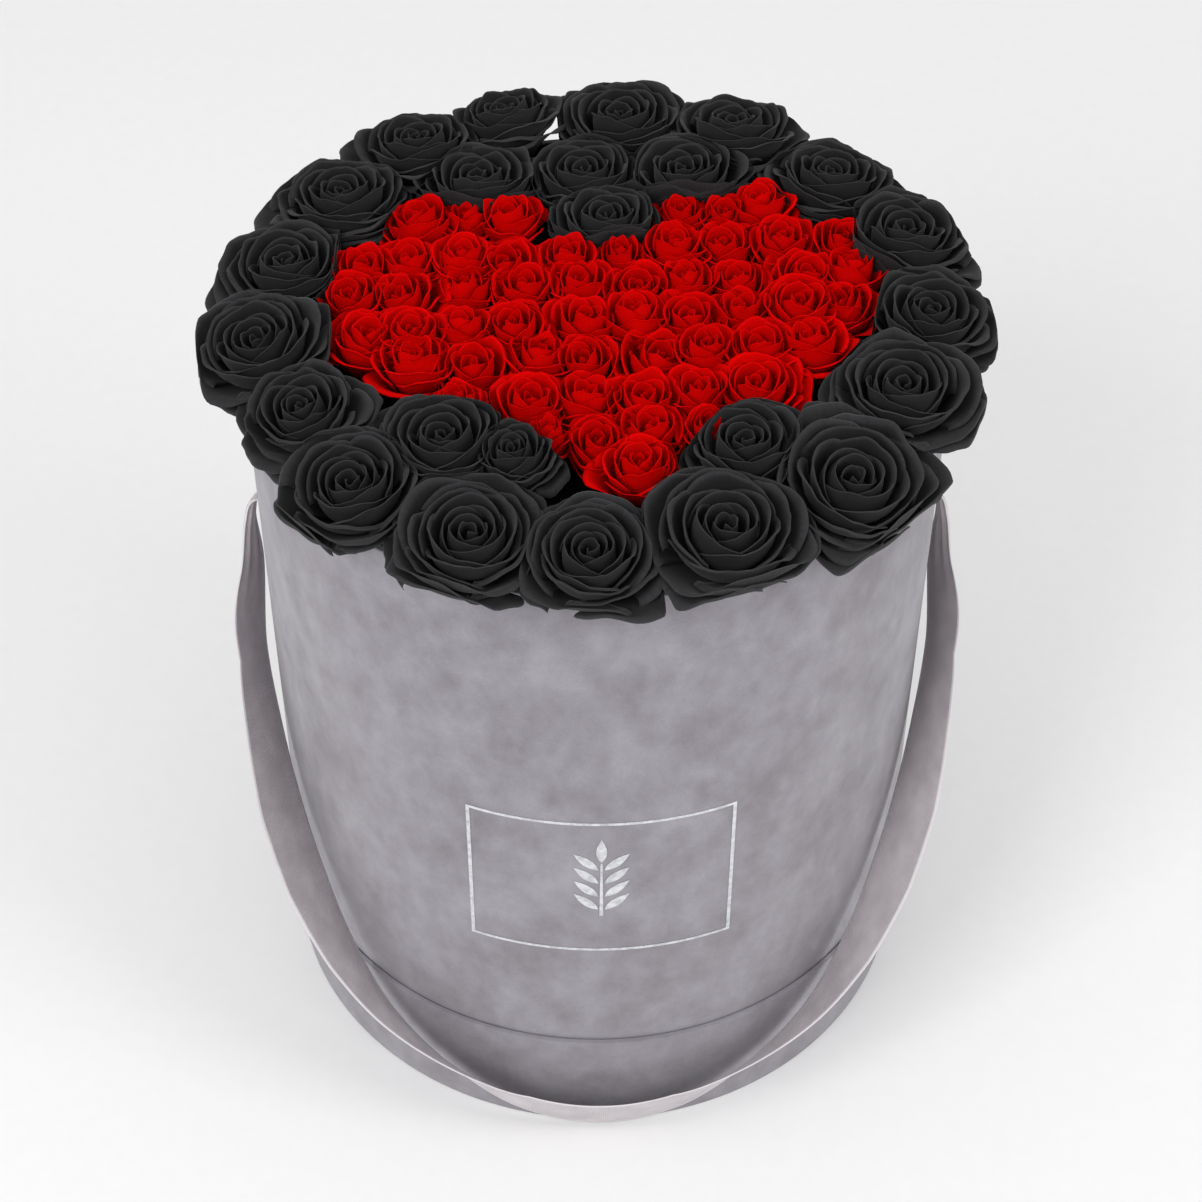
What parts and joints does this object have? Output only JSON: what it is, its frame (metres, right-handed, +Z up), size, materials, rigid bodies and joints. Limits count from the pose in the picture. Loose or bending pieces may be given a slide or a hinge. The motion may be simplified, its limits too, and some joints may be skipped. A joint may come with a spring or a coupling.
{
  "type": "flower box",
  "caption": "Round velour-covered flower box standing in its own lid, with a ribbon handle and a heart of red roses set in a ring of black ones.",
  "frame": {"origin": "middle of the lid's underside, on the surface that the box stands on", "axes": "+Z up along the box's axis, front (foil print and hanging ribbon) towards -Y, ribbon holes on +X and -X"},
  "size_m": [0.3732, 0.3786, 0.436],
  "materials": {
    "velour": "matte",
    "cardboard": "matte",
    "black_paper": "matte",
    "silver_foil": "polished",
    "ribbon": "satin",
    "black_petals": "matte",
    "red_petals": "matte",
    "flower_foam": "matte"
  },
  "bodies": {
    "lid": {"lid_band": "cardboard", "lid_band_cover": "velour", "lid_disc": "cardboard", "lid_disc_cover": "velour", "lid_lining": "black_paper"},
    "box": {"black_rose_back_left": "black_petals", "black_rose_back_middle": "black_petals", "black_rose_back_right": "black_petals", "black_rose_front_bud": "black_petals", "black_rose_front_left": "black_petals", "black_rose_front_right": "black_petals", "black_rose_notch": "black_petals", "black_rose_ring_01": "black_petals", "black_rose_ring_02": "black_petals", "black_rose_ring_03": "black_petals", "black_rose_ring_04": "black_petals", "black_rose_ring_05": "black_petals", "black_rose_ring_06": "black_petals", "black_rose_ring_07": "black_petals", "black_rose_ring_08": "black_petals", "black_rose_ring_09": "black_petals", "black_rose_ring_10": "black_petals", "black_rose_ring_11": "black_petals", "black_rose_ring_12": "black_petals", "black_rose_ring_13": "black_petals", "black_rose_ring_14": "black_petals", "black_rose_ring_15": "black_petals", "black_rose_ring_16": "black_petals", "black_rose_ring_17": "black_petals", "box_base_cover": "velour", "box_base_disc": "cardboard", "box_floor_lining": "black_paper", "box_tube": "cardboard", "box_wall_cover": "velour", "box_wall_lining": "black_paper", "false_floor": "cardboard", "flower_foam": "flower_foam", "foil_frame": "silver_foil", "foil_sprig": "silver_foil", "red_roses_row_1_left": "red_petals", "red_roses_row_1_right": "red_petals", "red_roses_row_2_left": "red_petals", "red_roses_row_2_right": "red_petals", "red_roses_row_3": "red_petals", "red_roses_row_4": "red_petals", "red_roses_row_5": "red_petals", "red_roses_row_6": "red_petals", "red_roses_row_7": "red_petals", "red_roses_row_8": "red_petals", "spacer_tube": "cardboard"},
    "handle": {"ribbon": "ribbon", "knot_left": "ribbon", "knot_right": "ribbon"}
  },
  "joints": [
    {"name": "box_lift", "type": "slide", "parent": "lid", "child": "box", "axis": [0, 0, 1], "range_m": [0, 0.08]},
    {"name": "handle_swing", "type": "hinge", "parent": "box", "child": "handle", "pos_m": [0, 0, 0.305], "axis": [-1, 0, 0], "range_deg": [0, 105]}
  ]
}
